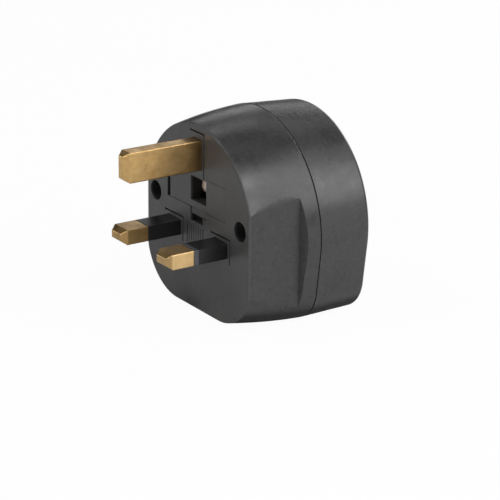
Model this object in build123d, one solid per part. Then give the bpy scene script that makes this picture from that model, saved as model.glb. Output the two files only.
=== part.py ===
from build123d import *
import math
import os

# Travel adapter: a British three-pin plug with a sunken European socket in its back.
# Millimetres. X to the right seen from the pins, Y into the body, Z up.
# The origin is on the pin face, midway between the line pin and the neutral pin.

# Plug pins, to the British standard
PIN_HALF_PITCH = 11.115
EARTH_Z = 22.23
BLADE_WIDE = 6.35
BLADE_THICK = 3.97
BLADE_LONG = 17.7
EARTH_WIDE = 3.97
EARTH_HIGH = 7.92
EARTH_LONG = 22.73
TIP_SIDE = 1.1
TIP_RUN = 1.6
SLEEVE_LONG = 9.8
SLEEVE_WALL = 0.4
SHOULDER_THICK = 1.6
SHOULDER_LIP = 1.2
EARTH_LOWER_LIP = 0.4

# Case: radius of the round top, height of its centre, slope of the side in degrees, lower corner
FRONT_FORM = (25.05, 4.81, 0.5, 15.47)
SEAM_FORM = (28.94, 3.07, 7.8, 10.75)
BACK_FORM = (27.75, 3.15, 7.8, 9.8)
SEAM_Y = 18.9
BACK_Y = 35.0
FLARE_Y = 9.4
FLARE_SHARE = 0.67
BASE_Z = -20.15
BASE_TRIM = 0.2
WALL = 2.0
FACE_THICK = 3.0
SEAM_GAP = 0.3
LIP_DEEP = 1.5
LIP_THICK = 1.0
FACE_ROUND = 0.5
RIM_ROUND = 1.0

# Finger grips cut into both sides of the front shell
GRIP_FRONT_X = 24.1
GRIP_DEEP_X = 25.9
GRIP_DEEP_Y = 14.1
GRIP_END_X = 29.5
GRIP_END_Y = 15.5

# Clearances
FIT = 0.1
GAP = 0.3

# Grooves beside the pins, ribs and slot on the pin face
PIN_PAD = 1.4
EARTH_PAD = 2.0
GROOVE_WIDE = 0.45
GROOVE_DEEP = 0.8
RIB_LEFT = -4.9
RIB_RIGHT = 3.0
RIB_LOW = -3.0
RIB_HIGH = 2.5
RIB_PITCH = 1.1
RIB_GROOVE = 0.4
RIB_DEEP = 0.2
PRY_WIDE = 5.8
PRY_LOW = 3.5
PRY_DEEP = 2.2

# Fuse and its carrier
FUSE_LONG = 25.4
FUSE_RADIUS = 3.175
FUSE_BODY_RADIUS = 2.85
CAP_LONG = 5.6
CAP_WALL = 0.25
FUSE_Y = 6.6
FUSE_Z = 12.4
LID_LEFT = -12.9
LID_RIGHT = 13.3
LID_LOW = 7.4
LID_HIGH = 16.3
LID_THICK = 3.3
LID_LEFT_GAP = 1.4
LID_SLIDE_GAP = 0.03
LID_GAP = 0.15
WINDOW_LEFT = -3.0
WINDOW_RIGHT = 4.4
WINDOW_LOW = 9.2
WINDOW_HIGH = 15.8
TONGUE_RIGHT = 4.5
TONGUE_LOW = 5.5
TONGUE_SUNK = 0.25
TONGUE_THICK = 1.6
ARM_X = 6.0
ARM_THICK = 1.6
ARM_WALL = 0.9
POCKET_WALL = 1.2
POCKET_DEEP = 11.0

# Case screws
SCREW_X = 20.1
SCREW_Z = 6.9
WELL_RADIUS = 2.65
HEAD_RADIUS = 2.5
HEAD_THICK = 2.2
HEAD_SEAT_Y = 11.5
SHANK_RADIUS = 1.4
BOSS_RADIUS = 4.0
POST_RADIUS = 3.3
POST_Y = 14.0
DRIVE_WIDE = 0.9
DRIVE_LONG = 3.2
DRIVE_DEEP = 1.2

# Socket in the back
SOCKET_Z = 3.8
SOCKET_RADIUS = 19.5
SOCKET_DEEP = 10.0
SOCKET_WALL = 1.8
SOCKET_MOUTH = 0.6
SOCKET_FLOOR = 1.6
SOCKET_PITCH = 19.0
PIN_HOLE_RADIUS = 2.75
PIN_HOLE_MOUTH = 0.5
CHANNEL_WIDE = 7.2
CHANNEL_DEEP = 1.0
KEY_WIDE = 4.6
KEY_DEEP = 2.0
KEY_SHORT = 1.5
CHIMNEY_RADIUS = 3.9
CHIMNEY_WALL = 1.0
CHIMNEY_LONG = 8.5

# Sheet metal inside
STRIP = 0.6
CONTACT_RADIUS = 2.5
CONTACT_WALL = 0.6
CONTACT_STEP = 1.2
CONTACT_SLIT = 0.8
CONTACT_SLIT_LONG = 8.0
CONTACT_TAB = 3.0
SPRING_WIRE = 0.4
SPRING_WIDE = 1.6
SPRING_FROM_END = 3.0
CLIP_INNER = 12.4
CLIP_OUTER = 8.2
CLIP_MOUTH_Y = 4.2
CLIP_PLAY = 0.1
LINK_LOW = 6.6
LINK_HIGH = 8.2
LINK_RISE = 14.0
EARTH_STRIP_WIDE = 6.0
EARTH_LEG_IN = 0.9
EARTH_BOW = 1.0
EARTH_LEG_LONG = 7.5
EARTH_LINK_WIDE = 4.0
EARTH_LINK_Z = 25.0
RIVET_RADIUS = 1.2
RIVET_HEAD = 2.0
RIVET_HEAD_THICK = 0.7
RIVET_Z = 16.0

# Places worked out from the sizes above
FRONT_END_Y = SEAM_Y - SEAM_GAP / 2
REAR_START_Y = SEAM_Y + SEAM_GAP / 2
FLOOR_FACE_Y = BACK_Y - SOCKET_DEEP
FLOOR_BACK_Y = FLOOR_FACE_Y - SOCKET_FLOOR
TAIL_Y = FACE_THICK + SHOULDER_THICK
CONTACT_X = SOCKET_PITCH / 2
CONTACT_END_Y = FLOOR_BACK_Y - FIT
CONTACT_OUTER = CONTACT_RADIUS + CONTACT_WALL
CLIP_HALF = FUSE_RADIUS + CLIP_PLAY
CLIP_WEB_Y = FUSE_Y + FUSE_RADIUS + CLIP_PLAY
LINK_Y = CLIP_WEB_Y + STRIP
CONTACT_START_Y = LINK_Y + STRIP
POCKET_LOW = LID_LOW - LID_GAP
POCKET_HIGH = LID_HIGH + LID_SLIDE_GAP
POCKET_LEFT = LID_LEFT - LID_LEFT_GAP
POCKET_RIGHT = LID_RIGHT + LID_SLIDE_GAP
EARTH_BAR_Y = FLOOR_BACK_Y - STRIP
LEG_Z = SOCKET_RADIUS - EARTH_LEG_IN


def block(low, high):
    """A box between two opposite corners."""
    size = [b - a for a, b in zip(low, high)]
    middle = [(a + b) / 2 for a, b in zip(low, high)]
    return Pos(*middle) * Box(*size)


def rod(radius, start_y, end_y, x=0.0, z=0.0):
    """A round bar along Y."""
    bar = Cylinder(radius, end_y - start_y)
    return Pos(x, (start_y + end_y) / 2, z) * Rot(90, 0, 0) * bar


def cross_rod(radius, start_x, end_x, y, z):
    """A round bar along X."""
    bar = Cylinder(radius, end_x - start_x)
    return Pos((start_x + end_x) / 2, y, z) * Rot(0, 90, 0) * bar


def mixed(form_a, form_b, share):
    """A case form part of the way from one form to another."""
    return tuple(a + (b - a) * share for a, b in zip(form_a, form_b))


def case_outline(form, y, inset, base_z):
    """Round top, a straight side running inwards below it, and a corner onto the flat base."""
    radius, centre_z, slope, corner = form
    radius = radius - inset
    corner = corner - inset
    corner_z = base_z + corner
    turn = -math.radians(slope)
    foot_x = (radius - corner + (centre_z - corner_z) * math.sin(turn)) / math.cos(turn)
    side_top = (radius * math.cos(turn), centre_z + radius * math.sin(turn))
    side_end = (foot_x + corner * math.cos(turn), corner_z + corner * math.sin(turn))
    half = (turn - math.pi / 2) / 2
    bend = (foot_x + corner * math.cos(half), corner_z + corner * math.sin(half))
    foot = (foot_x, base_z)

    def left(point):
        return (-point[0], point[1])

    edges = [
        ThreePointArc(side_top, (0, centre_z + radius), left(side_top)),
        Line(left(side_top), left(side_end)),
        ThreePointArc(left(side_end), left(bend), left(foot)),
        Line(left(foot), foot),
        ThreePointArc(foot, bend, side_end),
        Line(side_end, side_top),
    ]
    return Plane.XZ.offset(-y) * make_face(edges)


def front_form(inset, base_z, end_y):
    """The flared front of the case, lofted from the pin face through a middle section."""
    middle = mixed(FRONT_FORM, SEAM_FORM, FLARE_SHARE)
    stations = [(FRONT_FORM, 0.0), (middle, FLARE_Y), (SEAM_FORM, end_y)]
    return loft([case_outline(form, y, inset, base_z) for form, y in stations])


def rear_form(inset, base_z, start_y, end_y):
    """The rear of the case, tapering straight to the back."""
    start = mixed(SEAM_FORM, BACK_FORM, (start_y - SEAM_Y) / (BACK_Y - SEAM_Y))
    end = mixed(SEAM_FORM, BACK_FORM, (end_y - SEAM_Y) / (BACK_Y - SEAM_Y))
    sections = [case_outline(start, start_y, inset, base_z), case_outline(end, end_y, inset, base_z)]
    return loft(sections, ruled=True)


def below_base():
    """Everything under the flat base, trimmed off so that the base is one plane."""
    reach = 2 * SEAM_FORM[0]
    return block((-reach, -reach, BASE_Z - reach), (reach, 2 * reach, BASE_Z))


def pin_sections():
    """Centre and size of each pin seen from the front."""
    return [
        (-PIN_HALF_PITCH, 0.0, BLADE_WIDE, BLADE_THICK),
        (PIN_HALF_PITCH, 0.0, BLADE_WIDE, BLADE_THICK),
        (0.0, EARTH_Z, EARTH_WIDE, EARTH_HIGH),
    ]


def grip_cut():
    """One finger grip: a long flat run from the pin face and a short steep way out."""
    reach = GRIP_END_X + 5
    outline = Polyline(
        (GRIP_FRONT_X, -1),
        (GRIP_FRONT_X, 0),
        (GRIP_DEEP_X, GRIP_DEEP_Y),
        (GRIP_END_X, GRIP_END_Y),
        (reach, GRIP_END_Y),
        (reach, -1),
        close=True,
    )
    return extrude(make_face(outline), reach, both=True)


def grip_backing():
    """The room that the wall behind one finger grip takes from the hollow of the case."""
    reach = GRIP_END_X + 5
    front_x = GRIP_FRONT_X - WALL
    deep_x = GRIP_DEEP_X - WALL
    end_y = GRIP_DEEP_Y + WALL
    outline = Polyline(
        (front_x, -1),
        (front_x, 0),
        (deep_x, GRIP_DEEP_Y),
        (deep_x, end_y),
        (reach, end_y),
        (reach, -1),
        close=True,
    )
    return extrude(make_face(outline), reach, both=True)


def fuse_pocket():
    """The room that the carrier slides into, and the thin walls moulded round it."""
    room = block((POCKET_LEFT, -1, POCKET_LOW), (POCKET_RIGHT, POCKET_DEEP + 1, POCKET_HIGH))
    skirt = POCKET_WALL
    walls = block(
        (POCKET_LEFT - skirt, FACE_THICK / 2, POCKET_LOW - skirt),
        (POCKET_RIGHT + skirt, POCKET_DEEP - STRIP, POCKET_HIGH + skirt),
    )
    return walls, room


def pin_grooves():
    """The thin grooves along the right side and the top of each pin's pad."""
    cuts = []
    for x, z, wide, high in pin_sections():
        pad_z = EARTH_PAD if high > wide else PIN_PAD
        left_x = x - wide / 2 - PIN_PAD
        right_x = x + wide / 2 + PIN_PAD
        low_z = z - high / 2 - pad_z
        high_z = z + high / 2 + pad_z
        cuts.append(block((right_x - GROOVE_WIDE, -1, low_z), (right_x, GROOVE_DEEP, high_z)))
        cuts.append(block((left_x, -1, high_z - GROOVE_WIDE), (right_x, GROOVE_DEEP, high_z)))
    return cuts


def face_cuts():
    """The ribbed patch, the seat of the carrier's tongue and the slot under it."""
    cuts = []
    cuts.append(block((RIB_LEFT, -1, RIB_LOW), (RIB_LEFT + GROOVE_WIDE, GROOVE_DEEP, RIB_HIGH)))
    count = int((RIB_RIGHT - RIB_LEFT) / RIB_PITCH)
    for step in range(1, count + 1):
        left = RIB_LEFT + step * RIB_PITCH
        cuts.append(block((left, -1, RIB_LOW), (left + RIB_GROOVE, RIB_DEEP, RIB_HIGH)))
    seat_left = WINDOW_LEFT - LID_GAP
    seat_right = TONGUE_RIGHT + LID_GAP
    seat_deep = TONGUE_SUNK + TONGUE_THICK + FIT
    cuts.append(block((seat_left, -1, TONGUE_LOW - LID_GAP), (seat_right, seat_deep, POCKET_LOW + 1)))
    cuts.append(block((WINDOW_LEFT, -1, PRY_LOW), (WINDOW_LEFT + PRY_WIDE, PRY_DEEP, TONGUE_LOW)))
    return cuts


def make_front_shell():
    outer = front_form(0.0, BASE_Z - BASE_TRIM, FRONT_END_Y)
    edge = outer.faces().sort_by(Axis.Y)[0].edges()
    outer = fillet(edge, FACE_ROUND)
    outer = outer - below_base()
    outer = outer - grip_cut() - mirror(grip_cut(), Plane.YZ)
    far = 2 * SEAM_FORM[0]
    inner = front_form(WALL, BASE_Z + WALL, FRONT_END_Y + 1)
    inner = inner - block((-far, -1, -far), (far, FACE_THICK, far))
    inner = inner - grip_backing() - mirror(grip_backing(), Plane.YZ)
    shell = outer - inner
    walls, room = fuse_pocket()
    shell = shell + (walls & outer)
    for side in (1, -1):
        shell = shell + rod(BOSS_RADIUS, FACE_THICK / 2, POST_Y, side * SCREW_X, SCREW_Z)
    shell = shell - room
    leg_left = -CLIP_INNER - GAP
    leg_right = -CLIP_OUTER + GAP
    shell = shell - block((leg_left, FACE_THICK, 0), (leg_right, POCKET_DEEP, POCKET_LOW + 1))
    for side in (1, -1):
        shell = shell - rod(WELL_RADIUS, -1, HEAD_SEAT_Y, side * SCREW_X, SCREW_Z)
        shell = shell - rod(SHANK_RADIUS + GAP, 0, POST_Y + 1, side * SCREW_X, SCREW_Z)
    for x, z, wide, high in pin_sections():
        half_x = wide / 2 + FIT
        half_z = high / 2 + FIT
        shell = shell - block((x - half_x, -1, z - half_z), (x + half_x, FACE_THICK + 1, z + half_z))
    for cut in pin_grooves() + face_cuts():
        shell = shell - cut
    return shell


def mouth_cone(radius, depth, face_y, x=0.0):
    """A cone that widens a round hole by its own depth where it meets a face at the back."""
    cone = Cone(radius, radius + 2 * depth, 2 * depth)
    return Pos(x, face_y, SOCKET_Z) * Rot(-90, 0, 0) * cone


def earth_channel(side):
    """The channel in the recess wall that leaves an earth leg room to spring."""
    half = CHANNEL_WIDE / 2
    outer_z = SOCKET_RADIUS + CHANNEL_DEEP
    low_z, high_z = sorted((SOCKET_Z, SOCKET_Z + side * outer_z))
    return block((-half, FLOOR_FACE_Y, low_z), (half, BACK_Y + 1, high_z))


def make_rear_shell():
    outer = rear_form(0.0, BASE_Z - BASE_TRIM, REAR_START_Y, BACK_Y) - below_base()
    outer = fillet(outer.faces().sort_by(Axis.Y)[-1].edges(), RIM_ROUND)
    inner = rear_form(WALL, BASE_Z + WALL, REAR_START_Y - 1, BACK_Y - WALL)
    shell = outer - inner
    shell = shell + rod(SOCKET_RADIUS + SOCKET_WALL, FLOOR_BACK_Y, BACK_Y - WALL / 2, z=SOCKET_Z)
    for side in (1, -1):
        shell = shell + rod(POST_RADIUS, POST_Y, FLOOR_FACE_Y, side * SCREW_X, SCREW_Z)
        chimney = rod(CHIMNEY_RADIUS + CHIMNEY_WALL, FLOOR_BACK_Y - CHIMNEY_LONG, FLOOR_BACK_Y,
                      side * CONTACT_X, SOCKET_Z)
        shell = shell + chimney
    shell = shell + seam_lip()
    shell = shell - rod(SOCKET_RADIUS, FLOOR_FACE_Y, BACK_Y + 1, z=SOCKET_Z)
    shell = shell - mouth_cone(SOCKET_RADIUS, SOCKET_MOUTH, BACK_Y)
    shell = shell - earth_channel(1) - earth_channel(-1)
    for side in (1, -1):
        shell = shell + side_key(side)
        x = side * CONTACT_X
        shell = shell - rod(CHIMNEY_RADIUS, CONTACT_END_Y - CHIMNEY_LONG - 1, FLOOR_BACK_Y, x, SOCKET_Z)
        shell = shell - rod(PIN_HOLE_RADIUS, FLOOR_BACK_Y - 1, FLOOR_FACE_Y + 1, x, SOCKET_Z)
        shell = shell - mouth_cone(PIN_HOLE_RADIUS, PIN_HOLE_MOUTH, FLOOR_FACE_Y, x)
        pilot_end = FLOOR_BACK_Y - 2 * GAP
        shell = shell - rod(SHANK_RADIUS + FIT / 2, POST_Y - 1, pilot_end, side * SCREW_X, SCREW_Z)
        slot_z = SOCKET_Z + side * (LEG_Z - STRIP / 2)
        half_x = EARTH_STRIP_WIDE / 2 + FIT
        half_z = STRIP / 2 + FIT
        slot_low = (-half_x, FLOOR_BACK_Y - 1, slot_z - half_z)
        shell = shell - block(slot_low, (half_x, FLOOR_FACE_Y + 1, slot_z + half_z))
    return shell


def seam_lip():
    """The spigot inside the seam, which slides into the front shell and hides the joint."""
    start_y = FRONT_END_Y - LIP_DEEP
    end_y = REAR_START_Y + WALL
    far = 2 * SEAM_FORM[0]
    spigot = front_form(WALL + FIT, BASE_Z + WALL + FIT, FRONT_END_Y + 1)
    spigot = spigot - front_form(WALL + LIP_THICK, BASE_Z + WALL + LIP_THICK, FRONT_END_Y + 1)
    spigot = spigot & block((-far, start_y, -far), (far, REAR_START_Y + FIT, far))
    half = WALL / 2
    root = rear_form(half, BASE_Z + half, REAR_START_Y, end_y)
    inner = WALL + LIP_THICK + GAP
    root = root - rear_form(inner, BASE_Z + inner, REAR_START_Y - 1, end_y + 1)
    return spigot + root


def side_key(side):
    """One of the two ribs that line up a European plug in the socket."""
    half = KEY_WIDE / 2
    outer_x = SOCKET_RADIUS + SOCKET_WALL / 2
    inner_x = SOCKET_RADIUS - KEY_DEEP
    low_x, high_x = sorted((side * inner_x, side * outer_x))
    start_y = FLOOR_FACE_Y - SOCKET_FLOOR / 2
    rib = block((low_x, start_y, SOCKET_Z - half), (high_x, BACK_Y - KEY_SHORT, SOCKET_Z + half))
    tip = rib.faces().sort_by(Axis.X)[0 if side > 0 else -1]
    return fillet(tip.edges().filter_by(Axis.Y), KEY_DEEP / 4)


def bar_tip(x, z, wide, high, full_y, end_y):
    """The bevelled end of a plug pin."""
    sections = []
    for y, bevel in ((full_y, 0.0), (end_y, TIP_SIDE)):
        outline = Rectangle(wide - 2 * bevel, high - 2 * bevel)
        sections.append(Plane.XZ.offset(-y) * Pos(x, z) * outline)
    return loft(sections, ruled=True)


def make_blade(side):
    """A flat pin: bevelled brass end, neck under the sleeve, shoulder behind the face."""
    x = side * PIN_HALF_PITCH
    half_x = BLADE_WIDE / 2
    half_z = BLADE_THICK / 2
    neck_x = half_x - SLEEVE_WALL
    neck_z = half_z - SLEEVE_WALL
    full_y = -BLADE_LONG + TIP_RUN
    pin = block((x - half_x, full_y, -half_z), (x + half_x, -SLEEVE_LONG, half_z))
    pin = pin + bar_tip(x, 0.0, BLADE_WIDE, BLADE_THICK, full_y, -BLADE_LONG)
    pin = pin + block((x - neck_x, -SLEEVE_LONG, -neck_z), (x + neck_x, FACE_THICK, neck_z))
    lip_x = half_x + SHOULDER_LIP
    lip_z = half_z + SHOULDER_LIP
    return pin + block((x - lip_x, FACE_THICK, -lip_z), (x + lip_x, TAIL_Y, lip_z))


def make_sleeve(side):
    """The moulded sleeve round the root of a flat pin, flush with the brass in front of it."""
    x = side * PIN_HALF_PITCH
    half_x = BLADE_WIDE / 2
    half_z = BLADE_THICK / 2
    tube = block((x - half_x, -SLEEVE_LONG, -half_z), (x + half_x, FACE_THICK, half_z))
    neck_x = half_x - SLEEVE_WALL
    neck_z = half_z - SLEEVE_WALL
    bore = block((x - neck_x, -SLEEVE_LONG - 1, -neck_z), (x + neck_x, FACE_THICK + 1, neck_z))
    return tube - bore


def make_earth_pin():
    half_x = EARTH_WIDE / 2
    half_z = EARTH_HIGH / 2
    full_y = -EARTH_LONG + TIP_RUN
    pin = block((-half_x, full_y, EARTH_Z - half_z), (half_x, FACE_THICK, EARTH_Z + half_z))
    pin = pin + bar_tip(0.0, EARTH_Z, EARTH_WIDE, EARTH_HIGH, full_y, -EARTH_LONG)
    lip_x = half_x + SHOULDER_LIP
    low_z = EARTH_Z - half_z - EARTH_LOWER_LIP
    high_z = EARTH_Z + half_z + SHOULDER_LIP
    return pin + block((-lip_x, FACE_THICK, low_z), (lip_x, TAIL_Y, high_z))


def make_carrier():
    """The fuse carrier: a flat lid with a window and a tongue, and two arms round the fuse."""
    lid = block((LID_LEFT, 0, LID_LOW), (LID_RIGHT, LID_THICK, LID_HIGH))
    tongue_y = (TONGUE_SUNK, TONGUE_SUNK + TONGUE_THICK)
    tongue = block((WINDOW_LEFT, tongue_y[0], TONGUE_LOW), (TONGUE_RIGHT, tongue_y[1], LID_LOW + 1))
    carrier = lid + tongue
    for side in (1, -1):
        low_x, high_x = sorted((side * (ARM_X - ARM_THICK / 2), side * (ARM_X + ARM_THICK / 2)))
        reach = FUSE_BODY_RADIUS + FIT + ARM_WALL
        arm = cross_rod(reach, low_x, high_x, FUSE_Y, FUSE_Z)
        arm = arm + block((low_x, LID_THICK / 2, FUSE_Z - reach), (high_x, FUSE_Y, FUSE_Z + reach))
        arm = arm - block((low_x, FUSE_Y + ARM_WALL, LID_LOW), (high_x, FUSE_Y + 2 * reach, LID_HIGH))
        carrier = carrier + arm
    carrier = carrier - cross_rod(FUSE_BODY_RADIUS + FIT, LID_LEFT, LID_RIGHT, FUSE_Y, FUSE_Z)
    window = block((WINDOW_LEFT, -1, WINDOW_LOW), (WINDOW_RIGHT, LID_THICK + 1, WINDOW_HIGH))
    return carrier - window


def make_fuse_body():
    half = FUSE_LONG / 2 - CAP_WALL
    return cross_rod(FUSE_BODY_RADIUS, -half, half, FUSE_Y, FUSE_Z)


def make_fuse_cap(side):
    outer_x = FUSE_LONG / 2
    low_x, high_x = sorted((side * (outer_x - CAP_LONG), side * outer_x))
    cap = cross_rod(FUSE_RADIUS, low_x, high_x, FUSE_Y, FUSE_Z)
    low_x, high_x = sorted((side * (outer_x - CAP_LONG - 1), side * (outer_x - CAP_WALL)))
    return cap - cross_rod(FUSE_RADIUS - CAP_WALL, low_x, high_x, FUSE_Y, FUSE_Z)


def fuse_clip(side):
    """A folded strip gripping one end cap from above and below, open towards the carrier."""
    low_x, high_x = sorted((side * CLIP_OUTER, side * CLIP_INNER))
    outer = CLIP_HALF + STRIP
    clip = block((low_x, CLIP_MOUTH_Y, FUSE_Z - outer), (high_x, LINK_Y, FUSE_Z + outer))
    room_y = (CLIP_MOUTH_Y - 1, CLIP_WEB_Y)
    room = block((low_x, room_y[0], FUSE_Z - CLIP_HALF), (high_x, room_y[1], FUSE_Z + CLIP_HALF))
    return clip - room


def make_line_clip():
    """The live side: the clip's leg reaches down onto the line pin."""
    leg_low = -BLADE_THICK / 2
    leg_high = FUSE_Z - CLIP_HALF
    leg = block((-CLIP_INNER, TAIL_Y, leg_low), (-CLIP_OUTER, TAIL_Y + STRIP, leg_high))
    return fuse_clip(-1) + leg


def contact_tube(side, start_y):
    """A rolled tube with a slit front part that grips a round plug pin."""
    x = side * CONTACT_X
    tube = rod(CONTACT_OUTER, start_y, CONTACT_END_Y, x, SOCKET_Z)
    tube = tube - rod(CONTACT_RADIUS, start_y - 1, CONTACT_END_Y + 1, x, SOCKET_Z)
    half = CONTACT_SLIT / 2
    reach = CONTACT_OUTER + 1
    slit_y = CONTACT_END_Y - CONTACT_SLIT_LONG
    slit = block((x - half, slit_y, SOCKET_Z - reach), (x + half, CONTACT_END_Y + 1, SOCKET_Z + reach))
    return tube - slit


def make_line_contact():
    low_x = -CONTACT_X - CONTACT_TAB / 2
    high_x = -CONTACT_X + CONTACT_TAB / 2
    tab_low = SOCKET_Z + CONTACT_RADIUS + CONTACT_WALL / 2
    tab = block((low_x, CONTACT_START_Y, tab_low), (high_x, CONTACT_START_Y + STRIP, LINK_HIGH))
    return contact_tube(-1, CONTACT_START_Y) + tab


def make_neutral_contact():
    start_y = CONTACT_START_Y + CONTACT_STEP
    top_z = SOCKET_Z - CONTACT_RADIUS - CONTACT_WALL / 4
    low_z = top_z - STRIP
    low_x = CONTACT_X - CONTACT_TAB / 2
    high_x = CONTACT_X + CONTACT_TAB / 2
    runner = block((low_x, TAIL_Y, low_z), (high_x, start_y + CONTACT_TAB, top_z))
    foot_z = -BLADE_THICK / 2
    foot_x = PIN_HALF_PITCH + BLADE_WIDE / 2
    foot = block((low_x, TAIL_Y, foot_z), (foot_x, TAIL_Y + STRIP, top_z))
    return contact_tube(1, start_y) + runner + foot


def make_contact_spring(side):
    """A steel ring that closes the slit end of a contact tube."""
    x = side * CONTACT_X
    end_y = CONTACT_END_Y - SPRING_FROM_END
    inner = CONTACT_OUTER + FIT / 2
    ring = rod(inner + SPRING_WIRE, end_y - SPRING_WIDE, end_y, x, SOCKET_Z)
    ring = ring - rod(inner, end_y - SPRING_WIDE - 1, end_y + 1, x, SOCKET_Z)
    gap = block((x - CONTACT_SLIT / 2, 0, SOCKET_Z), (x + CONTACT_SLIT / 2, BACK_Y, BACK_Y))
    return ring - gap


def make_line_link():
    """The strip from the fuse's load end across to the line contact."""
    low_x = -CONTACT_X - CONTACT_TAB / 2
    bar = block((low_x, LINK_Y, LINK_LOW), (CLIP_INNER, CONTACT_START_Y, LINK_HIGH))
    return bar + block((CLIP_OUTER, LINK_Y, LINK_LOW), (CLIP_INNER, CONTACT_START_Y, LINK_RISE))


def earth_leg(side):
    """One bowed spring leg in the socket, in profile and then extruded to its width."""
    start_y = EARTH_BAR_Y
    bow_start = FLOOR_FACE_Y + GAP
    bow_end = FLOOR_FACE_Y + EARTH_LEG_LONG
    bow_y = (bow_start + bow_end) / 2
    outer = LEG_Z
    inner = LEG_Z - STRIP

    def at(y, height):
        return (y, SOCKET_Z + side * height)

    edges = [
        Line(at(start_y, outer), at(bow_start, outer)),
        ThreePointArc(at(bow_start, outer), at(bow_y, outer - EARTH_BOW), at(bow_end, outer)),
        Line(at(bow_end, outer), at(bow_end, inner)),
        ThreePointArc(at(bow_end, inner), at(bow_y, inner - EARTH_BOW), at(bow_start, inner)),
        Line(at(bow_start, inner), at(start_y, inner)),
        Line(at(start_y, inner), at(start_y, outer)),
    ]
    return extrude(Plane.YZ * make_face(edges), EARTH_STRIP_WIDE / 2, both=True)


def make_earth_clip():
    """One folded strip: a bar behind the socket floor and a spring leg at each end."""
    half = EARTH_STRIP_WIDE / 2
    low_z = SOCKET_Z - LEG_Z
    high_z = SOCKET_Z + LEG_Z
    clip = block((-half, EARTH_BAR_Y, low_z), (half, FLOOR_BACK_Y, high_z))
    clip = clip + earth_leg(1) + earth_leg(-1)
    return clip - rod(RIVET_RADIUS + FIT / 2, EARTH_BAR_Y - 1, FLOOR_BACK_Y + 1, z=RIVET_Z)


def make_earth_link():
    """A folded strip from the earth pin's tail back to the earth clip."""
    half = EARTH_LINK_WIDE / 2
    front_low = EARTH_Z - EARTH_HIGH / 2
    rear_low = RIVET_Z - RIVET_HEAD
    outline = Polyline(
        (TAIL_Y, front_low),
        (TAIL_Y, EARTH_LINK_Z),
        (EARTH_BAR_Y, EARTH_LINK_Z),
        (EARTH_BAR_Y, rear_low),
        (EARTH_BAR_Y - STRIP, rear_low),
        (EARTH_BAR_Y - STRIP, EARTH_LINK_Z - STRIP),
        (TAIL_Y + STRIP, EARTH_LINK_Z - STRIP),
        (TAIL_Y + STRIP, front_low),
        close=True,
    )
    link = extrude(Plane.YZ * make_face(outline), half, both=True)
    return link - rod(RIVET_RADIUS + FIT / 2, EARTH_BAR_Y - 2, EARTH_BAR_Y + 1, z=RIVET_Z)


def make_rivet():
    head_y = EARTH_BAR_Y - STRIP
    rivet = rod(RIVET_RADIUS, head_y, FLOOR_BACK_Y, z=RIVET_Z)
    return rivet + rod(RIVET_HEAD, head_y - RIVET_HEAD_THICK, head_y, z=RIVET_Z)


def make_case_screw(side):
    x = side * SCREW_X
    head_y = HEAD_SEAT_Y - HEAD_THICK
    head = rod(HEAD_RADIUS, head_y, HEAD_SEAT_Y, x, SCREW_Z)
    head = chamfer(head.faces().sort_by(Axis.Y)[0].edges(), HEAD_THICK / 4)
    for wide, long in ((DRIVE_WIDE, DRIVE_LONG), (DRIVE_LONG, DRIVE_WIDE)):
        low = (x - wide / 2, head_y - 1, SCREW_Z - long / 2)
        head = head - block(low, (x + wide / 2, head_y + DRIVE_DEEP, SCREW_Z + long / 2))
    shank_end = FLOOR_BACK_Y - 4 * GAP
    return head + rod(SHANK_RADIUS, HEAD_SEAT_Y, shank_end, x, SCREW_Z)


PARTS = {
    "front_shell": make_front_shell,
    "rear_shell": make_rear_shell,
    "earth_pin": make_earth_pin,
    "line_pin": lambda: make_blade(-1),
    "neutral_pin": lambda: make_blade(1),
    "line_pin_sleeve": lambda: make_sleeve(-1),
    "neutral_pin_sleeve": lambda: make_sleeve(1),
    "fuse_carrier": make_carrier,
    "fuse_body": make_fuse_body,
    "fuse_cap_left": lambda: make_fuse_cap(-1),
    "fuse_cap_right": lambda: make_fuse_cap(1),
    "line_fuse_clip": make_line_clip,
    "load_fuse_clip": lambda: fuse_clip(1),
    "line_contact": make_line_contact,
    "neutral_contact": make_neutral_contact,
    "line_contact_spring": lambda: make_contact_spring(-1),
    "neutral_contact_spring": lambda: make_contact_spring(1),
    "line_link": make_line_link,
    "earth_clip": make_earth_clip,
    "earth_link": make_earth_link,
    "earth_rivet": make_rivet,
    "case_screw_left": lambda: make_case_screw(-1),
    "case_screw_right": lambda: make_case_screw(1),
}

os.makedirs("parts", exist_ok=True)
for name, make in PARTS.items():
    export_step(make(), os.path.join("parts", name + ".step"))
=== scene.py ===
import math

import bpy
from mathutils import Matrix, Vector


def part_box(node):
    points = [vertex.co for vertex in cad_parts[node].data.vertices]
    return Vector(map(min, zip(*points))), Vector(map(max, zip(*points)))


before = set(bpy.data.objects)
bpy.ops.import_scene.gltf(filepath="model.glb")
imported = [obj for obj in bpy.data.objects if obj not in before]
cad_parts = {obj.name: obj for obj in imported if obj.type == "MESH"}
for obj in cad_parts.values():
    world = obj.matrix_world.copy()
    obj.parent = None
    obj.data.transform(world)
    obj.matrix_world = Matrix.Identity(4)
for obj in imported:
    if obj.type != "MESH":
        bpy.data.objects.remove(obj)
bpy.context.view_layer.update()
scene = bpy.context.scene
bpy.ops.object.select_all(action="DESELECT")

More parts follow.
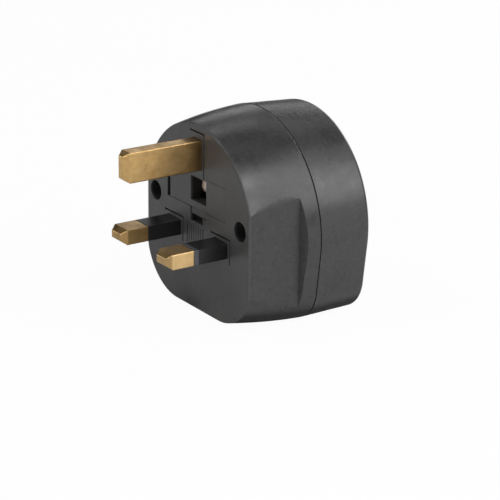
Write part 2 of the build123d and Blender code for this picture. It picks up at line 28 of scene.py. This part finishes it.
# Camera. It stands to the right of the pins and a little above them, with a long lens, and the
# adapter sits above the middle of the square picture.
look_at = Vector((0, 0.015, 0.008))
azimuth = math.radians(56.23)
height = math.radians(18.27)
roll = math.radians(0.64)
camera_distance = 0.6
picture_left = 0.0012
picture_up = 0.01387
back = Vector((
    math.sin(azimuth) * math.cos(height),
    -math.cos(azimuth) * math.cos(height),
    math.sin(height),
))
level_right = Vector((math.cos(azimuth), math.sin(azimuth), 0))
level_up = back.cross(level_right)
tilted_right = level_right * math.cos(roll) + level_up * math.sin(roll)
tilted_up = level_up * math.cos(roll) - level_right * math.sin(roll)
bpy.ops.object.camera_add(location=look_at + back * camera_distance)
camera = bpy.context.object
aim = look_at + tilted_right * picture_left - tilted_up * picture_up
back = (camera.location - aim).normalized()
right = tilted_up.cross(back).normalized()
up = back.cross(right)
camera.rotation_mode = "QUATERNION"
camera.rotation_quaternion = Matrix((right, up, back)).transposed().to_quaternion()
camera.data.sensor_width = 36
camera.data.lens = 165.5
camera.data.clip_start = 0.01
scene.camera = camera

# Studio. The adapter stands on white paper in a dark room, among round soft lamps, most of them on
# the right and behind it. Only the camera sees the room as white. Which lamps there are, and their
# watts, was solved by a least-squares fit to the photo's brightness, and not chosen by hand.
scene.view_settings.view_transform = "Standard"
world = bpy.data.worlds.new("room")
scene.world = world
world.use_nodes = True
room = world.node_tree
seen = room.nodes.new("ShaderNodeLightPath")
room_light = room.nodes["Background"]
room_light.inputs["Color"].default_value = (1, 1, 1, 1)
room.links.new(seen.outputs["Is Camera Ray"], room_light.inputs["Strength"])

lamp_aim = Vector((0, 0.01, 0.008))
lamp_distance = 0.9
lamp_across = 0.3
for lamp_azimuth, lamp_height, watts in (
    (0, 6, 0.841), (40, 6, 0.222),
    (0, 21, 0.801), (21, 21, 0.57), (42, 21, 1.05), (106, 21, 1.65), (127, 21, 0.543),
    (148, 21, 0.23), (212, 21, 1.06), (296, 21, 1.934),
    (0, 36, 0.621), (24, 36, 0.562), (48, 36, 0.883),
    (0, 51, 1.279), (30, 51, 0.581), (60, 51, 0.438), (120, 51, 0.137), (150, 51, 0.273),
    (240, 51, 1.962),
    (90, 80, 0.106),
):
    turn = math.radians(lamp_azimuth)
    tilt = math.radians(lamp_height)
    towards = Vector((
        math.cos(turn) * math.cos(tilt),
        math.sin(turn) * math.cos(tilt),
        math.sin(tilt),
    ))
    bpy.ops.object.light_add(type="AREA", location=lamp_aim + towards * lamp_distance)
    lamp = bpy.context.object
    lamp.name = f"soft_lamp_{lamp_azimuth}_{lamp_height}"
    lamp.rotation_euler = towards.to_track_quat("Z", "Y").to_euler()
    lamp.data.shape = "DISK"
    lamp.data.size = lamp_across
    lamp.data.energy = watts

# Paper. A wide white sheet under the case. To the camera it is almost all glow, so that it runs
# into the white of the room and keeps only a faint shadow.
paper_across = 6
paper_glow_share = 0.96
bpy.ops.mesh.primitive_plane_add(size=paper_across, location=(0, 0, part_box("front_shell")[0].z))
floor = bpy.context.object
floor.name = "paper_floor"
paper = bpy.data.materials.new("white_paper")
paper.use_nodes = True
sheet = paper.node_tree
sheet.nodes.clear()
paper_white = sheet.nodes.new("ShaderNodeBsdfDiffuse")
paper_white.inputs["Color"].default_value = (0.8, 0.8, 0.8, 1)
paper_glow = sheet.nodes.new("ShaderNodeEmission")
paper_seen = sheet.nodes.new("ShaderNodeLightPath")
paper_share = sheet.nodes.new("ShaderNodeMath")
paper_share.operation = "MULTIPLY"
paper_share.inputs[1].default_value = paper_glow_share
paper_mix = sheet.nodes.new("ShaderNodeMixShader")
paper_out = sheet.nodes.new("ShaderNodeOutputMaterial")
sheet.links.new(paper_seen.outputs["Is Camera Ray"], paper_share.inputs[0])
sheet.links.new(paper_share.outputs["Value"], paper_mix.inputs["Fac"])
sheet.links.new(paper_white.outputs["BSDF"], paper_mix.inputs[1])
sheet.links.new(paper_glow.outputs["Emission"], paper_mix.inputs[2])
sheet.links.new(paper_mix.outputs["Shader"], paper_out.inputs["Surface"])
floor.data.materials.append(paper)

# Case. Two shells of dark grey moulded plastic with a fine spark texture, held by two screws. It
# is smudged and mottled, with painted shade that darkens its holes, slots and grooves, and a few
# pale specks. The pin face is duller, and painted paler than the sides as painted light, because
# the lamps reach it less. The edges of the finger grips run out softly.


def new_finish(name, rough, metallic=0.0):
    """A material with one shader. It takes the name of the plain one that the parts came with."""
    if name in bpy.data.materials:
        bpy.data.materials.remove(bpy.data.materials[name])
    finish = bpy.data.materials.new(name)
    finish.use_nodes = True
    shader = finish.node_tree.nodes["Principled BSDF"]
    shader.inputs["Roughness"].default_value = rough
    shader.inputs["Metallic"].default_value = metallic
    return finish, shader


def wear(finish, *pieces):
    """Gives the pieces their finish."""
    for piece in pieces:
        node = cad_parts[piece]
        node.data.materials.clear()
        node.data.materials.append(finish)


def speckle(finish, scale, low, high, stretch=(1, 1, 1)):
    """Uneven patches, from 0 to 1, with the cut-offs that set how much of the surface they take."""
    nodes = finish.node_tree.nodes
    links = finish.node_tree.links
    place = nodes.new("ShaderNodeTexCoord")
    spread = nodes.new("ShaderNodeMapping")
    spread.inputs["Scale"].default_value = stretch
    noise = nodes.new("ShaderNodeTexNoise")
    noise.inputs["Scale"].default_value = scale
    noise.inputs["Detail"].default_value = 4
    noise.inputs["Roughness"].default_value = 0.6
    cut = nodes.new("ShaderNodeMapRange")
    cut.inputs["From Min"].default_value = low
    cut.inputs["From Max"].default_value = high
    links.new(place.outputs["Object"], spread.inputs["Vector"])
    links.new(spread.outputs["Vector"], noise.inputs["Vector"])
    links.new(noise.outputs["Fac"], cut.inputs["Value"])
    return cut.outputs["Result"]


def along(finish, axis, start, end):
    """A smooth change from 0 to 1 between two places on one axis, in metres."""
    nodes = finish.node_tree.nodes
    links = finish.node_tree.links
    place = nodes.new("ShaderNodeTexCoord")
    split = nodes.new("ShaderNodeSeparateXYZ")
    ramp = nodes.new("ShaderNodeMapRange")
    ramp.interpolation_type = "SMOOTHSTEP"
    ramp.inputs["From Min"].default_value = start
    ramp.inputs["From Max"].default_value = end
    links.new(place.outputs["Object"], split.inputs["Vector"])
    links.new(split.outputs[axis], ramp.inputs["Value"])
    return ramp.outputs["Result"]


def combine(finish, operation, first, second):
    """One number from two, each a fixed number or the result of another node."""
    maths = finish.node_tree.nodes.new("ShaderNodeMath")
    maths.operation = operation
    for socket, value in zip(maths.inputs, (first, second)):
        if isinstance(value, float):
            socket.default_value = value
        else:
            finish.node_tree.links.new(value, socket)
    return maths.outputs["Value"]


def blend(finish, factor, first, second):
    """A colour between two, each a fixed colour or the result of another blend."""
    mix = finish.node_tree.nodes.new("ShaderNodeMix")
    mix.data_type = "RGBA"
    finish.node_tree.links.new(factor, mix.inputs["Factor"])
    for socket, colour in ((mix.inputs["A"], first), (mix.inputs["B"], second)):
        if isinstance(colour, tuple):
            socket.default_value = (*colour, 1)
        else:
            finish.node_tree.links.new(colour, socket)
    return mix.outputs["Result"]


def change(finish, factor, low, high):
    """A number that runs from low to high as the factor runs from 0 to 1."""
    ramp = finish.node_tree.nodes.new("ShaderNodeMapRange")
    ramp.inputs["To Min"].default_value = low
    ramp.inputs["To Max"].default_value = high
    finish.node_tree.links.new(factor, ramp.inputs["Value"])
    return ramp.outputs["Result"]


def feed(finish, shader, socket, result):
    """Lets a pattern set one of the shader's values."""
    finish.node_tree.links.new(result, shader.inputs[socket])


def hollows(finish, reach):
    """From 0 on open surfaces to 1 deep in holes, slots and grooves, where shade gathers; it masks
    painted shade.
    """
    open_enough = 0.86
    closed_in = 0.48
    nodes = finish.node_tree.nodes
    openness = nodes.new("ShaderNodeAmbientOcclusion")
    openness.samples = 8
    openness.inputs["Distance"].default_value = reach
    shade = nodes.new("ShaderNodeMapRange")
    shade.inputs["From Min"].default_value = open_enough
    shade.inputs["From Max"].default_value = closed_in
    finish.node_tree.links.new(openness.outputs["AO"], shade.inputs["Value"])
    return shade.outputs["Result"]


def roughen(finish, shader, grain, depth, soft_edge):
    """A fine relief, and edges that catch the light as if they were slightly rounded."""
    nodes = finish.node_tree.nodes
    links = finish.node_tree.links
    bump = nodes.new("ShaderNodeBump")
    bump.inputs["Strength"].default_value = 1.0
    bump.inputs["Distance"].default_value = depth
    links.new(grain, bump.inputs["Height"])
    edge = nodes.new("ShaderNodeBevel")
    edge.samples = 8
    if isinstance(soft_edge, float):
        edge.inputs["Radius"].default_value = soft_edge
    else:
        links.new(soft_edge, edge.inputs["Radius"])
    links.new(edge.outputs["Normal"], bump.inputs["Normal"])
    feed(finish, shader, "Normal", bump.outputs["Normal"])


pin_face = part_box("front_shell")[0].y
parting_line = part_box("rear_shell")[0].y
side_dark = (0.021, 0.021, 0.0212)
side_pale = (0.033, 0.033, 0.0332)
# Painted light: the pin face's greys are paler than the sides' to stand in for the lamp light that
# reaches the face less.
face_dark_painted_light = (0.032, 0.032, 0.0322)
face_pale_painted_light = (0.05, 0.05, 0.0502)
mottle_grey = (0.058, 0.058, 0.058)
dust_grey = (0.17, 0.17, 0.165)
# Painted shade: the near-black that holes, slots and grooves behind the pin face are darkened towards.
painted_hole_shade = (0.003, 0.003, 0.003)
hole_reach = 0.008
smudge_height = 6.0
spark_depth = 0.0000015
crisp_radius = 0.0002
grip_radius = 0.0033

case_plastic, shader = new_finish("case_plastic", 0.3)
cloud = speckle(case_plastic, 120, 0.2, 0.8)
smudge = speckle(case_plastic, 330, 0.25, 0.75)
mottle = speckle(case_plastic, 800, 0.25, 0.75)
dust = speckle(case_plastic, 1500, 0.64, 0.76)
spark = speckle(case_plastic, 1800, 0.2, 0.8)
behind_rim = along(case_plastic, "Y", pin_face + 0.0002, pin_face + 0.001)
side_grey = blend(case_plastic, cloud, side_dark, side_pale)
face_grey_painted_light = blend(case_plastic, cloud, face_dark_painted_light, face_pale_painted_light)
grey = blend(case_plastic, behind_rim, face_grey_painted_light, side_grey)
mottled = blend(case_plastic, change(case_plastic, mottle, 0.0, 0.5), grey, mottle_grey)
dusty = blend(case_plastic, change(case_plastic, dust, 0.0, 0.4), mottled, dust_grey)
# Painted shade: ambient occlusion darkens the holes, slots and grooves behind the pin face towards
# black.
deep = combine(case_plastic, "MULTIPLY", hollows(case_plastic, hole_reach), behind_rim)
feed(case_plastic, shader, "Base Color", blend(case_plastic, deep, dusty, painted_hole_shade))

cloud_gloss = change(case_plastic, cloud, 0.21, 0.31)
smudge_gloss = change(case_plastic, smudge, -0.04, 0.08)
side_gloss = combine(case_plastic, "ADD", cloud_gloss, smudge_gloss)
face_more = change(case_plastic, behind_rim, 0.14, 0.0)
hole_more = change(case_plastic, deep, 0.0, 0.5)
face_gloss = combine(case_plastic, "ADD", side_gloss, face_more)
feed(case_plastic, shader, "Roughness", combine(case_plastic, "ADD", face_gloss, hole_more))

raised_smudge = combine(case_plastic, "MULTIPLY", smudge, smudge_height)
relief = combine(case_plastic, "ADD", spark, raised_smudge)
behind_face = along(case_plastic, "Y", pin_face + 0.001, pin_face + 0.004)
near_parting = along(case_plastic, "Y", parting_line - 0.0025, parting_line - 0.0005)
on_grip = combine(case_plastic, "SUBTRACT", behind_face, near_parting)
edge_radius = change(case_plastic, on_grip, crisp_radius, grip_radius)
roughen(case_plastic, shader, relief, spark_depth, edge_radius)
wear(case_plastic, "front_shell", "rear_shell")

# Fuse carrier. A lid with a window, moulded of the same plastic as the case, and pushed into the
# pin face. It wears a copy of the case's finish, with the same painted shade in its hollows and the
# same paler painted face.
bpy.data.materials.remove(bpy.data.materials["carrier_plastic"])
carrier_plastic = case_plastic.copy()
carrier_plastic.name = "carrier_plastic"
wear(carrier_plastic, "fuse_carrier")

# Sleeves. Smooth black plastic round the roots of the flat pins. The near one has a paler band
# at its front end, where it meets the brass, which is a painted highlight.
sleeve_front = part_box("neutral_pin_sleeve")[0].y
sleeve_black = (0.005, 0.005, 0.0052)
# Painted highlight: the pale blue-grey band at the near sleeve's front end.
painted_highlight_grey = (0.06, 0.064, 0.072)
sleeve_plastic, shader = new_finish("sleeve_plastic", 0.35)
past_painted_highlight = along(sleeve_plastic, "Y", sleeve_front + 0.0011, sleeve_front + 0.0015)
far_side = along(sleeve_plastic, "X", 0.001, -0.001)
black_share = combine(sleeve_plastic, "MAXIMUM", past_painted_highlight, far_side)
feed(sleeve_plastic, shader, "Base Color", blend(sleeve_plastic, black_share, painted_highlight_grey, sleeve_black))
sleeve_grain = speckle(sleeve_plastic, 1500, 0.2, 0.8)
roughen(sleeve_plastic, shader, sleeve_grain, 0.000002, 0.0003)
wear(sleeve_plastic, "line_pin_sleeve", "neutral_pin_sleeve")

# Pins. Tumbled brass with soft corners, set in the front shell, mottled with brown stains. Towards
# the root, where they meet the face, they are painted darker, as a painted reflection of the dark
# case. The near flat pin is painted brighter, as painted light, and darker near its tip, and the
# far one is painted darker, as painted shade.
pin_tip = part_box("neutral_pin")[0].y
clean_brass = (0.62, 0.395, 0.15)
stained_brass = (0.38, 0.22, 0.08)
rubbed_brass = (0.82, 0.63, 0.36)
# Painted light and shade: the near pin is blended towards a brighter brass, the far pin towards a
# darker one, which also darkens the near pin's tip.
painted_light_brass = (0.97, 0.69, 0.36)
dark_brass_and_painted_shade = (0.3, 0.19, 0.08)
# Painted reflection: the dark brown towards each pin's root stands in for the dark case mirrored in
# the brass.
painted_root_reflection = (0.25, 0.14, 0.055)
pin_brass, shader = new_finish("pin_brass", 0.33, 1.0)
stain = speckle(pin_brass, 320, 0.35, 0.7)
rub = speckle(pin_brass, 900, 0.35, 0.75, (1, 0.5, 1))
worn = speckle(pin_brass, 700, 0.2, 0.8)
near_pin = along(pin_brass, "X", 0.004, 0.008)
far_pin = along(pin_brass, "X", -0.004, -0.008)
behind_tip = along(pin_brass, "Y", pin_tip + 0.0011, pin_tip + 0.0017)
at_root = along(pin_brass, "Y", pin_face - 0.005, pin_face - 0.0002)
near_tip = combine(pin_brass, "MULTIPLY", near_pin, change(pin_brass, behind_tip, 0.6, 0.0))
stained = blend(pin_brass, change(pin_brass, stain, 0.0, 0.75), clean_brass, stained_brass)
rubbed = blend(pin_brass, change(pin_brass, rub, 0.0, 0.3), stained, rubbed_brass)
# Painted light on the near pin, and painted shade on the far pin.
brighter = blend(pin_brass, change(pin_brass, near_pin, 0.0, 0.45), rubbed, painted_light_brass)
duller = blend(pin_brass, change(pin_brass, far_pin, 0.0, 0.5), brighter, dark_brass_and_painted_shade)
tipped = blend(pin_brass, near_tip, duller, dark_brass_and_painted_shade)
# Painted reflection of the dark case, darkening the brass towards the root.
rooted = blend(pin_brass, change(pin_brass, at_root, 0.0, 0.75), tipped, painted_root_reflection)
feed(pin_brass, shader, "Base Color", rooted)
feed(pin_brass, shader, "Roughness", change(pin_brass, stain, 0.28, 0.44))
roughen(pin_brass, shader, worn, 0.000004, 0.0005)
wear(pin_brass, "earth_pin", "line_pin", "neutral_pin")

# Contacts and links. Clean sheet brass, bent to clips, slit tubes and strips inside the case, and
# seen through the fuse window and the socket's holes.


def plain_metal(name, rough, colour, *pieces):
    """Metal of one colour all over, worn by the pieces."""
    metal, shader = new_finish(name, rough, 1.0)
    shader.inputs["Base Color"].default_value = (*colour, 1)
    wear(metal, *pieces)


plain_metal(
    "contact_brass", 0.3, (0.7, 0.52, 0.25),
    "line_fuse_clip", "load_fuse_clip", "line_contact", "neutral_contact", "line_link", "earth_link",
)

# Earth clip. One strip of plated spring metal, folded so that its two legs stand in the socket.
plain_metal("spring_metal", 0.28, (0.62, 0.6, 0.55), "earth_clip")

# Screws, rivet and the spring rings that close the contacts. Dark steel, deep in the case.
plain_metal(
    "steel", 0.4, (0.07, 0.07, 0.072),
    "line_contact_spring", "neutral_contact_spring", "earth_rivet",
    "case_screw_left", "case_screw_right",
)

# Fuse. A pinkish unglazed tube with bright plated caps, held by the carrier and seen through its
# window.
tube_dark = (0.74, 0.58, 0.49)
tube_pale = (0.88, 0.72, 0.62)
ceramic, shader = new_finish("ceramic", 0.55)
chalk = speckle(ceramic, 500, 0.3, 0.7)
feed(ceramic, shader, "Base Color", blend(ceramic, chalk, tube_dark, tube_pale))
wear(ceramic, "fuse_body")
plain_metal("fuse_cap", 0.22, (0.75, 0.75, 0.74), "fuse_cap_left", "fuse_cap_right")
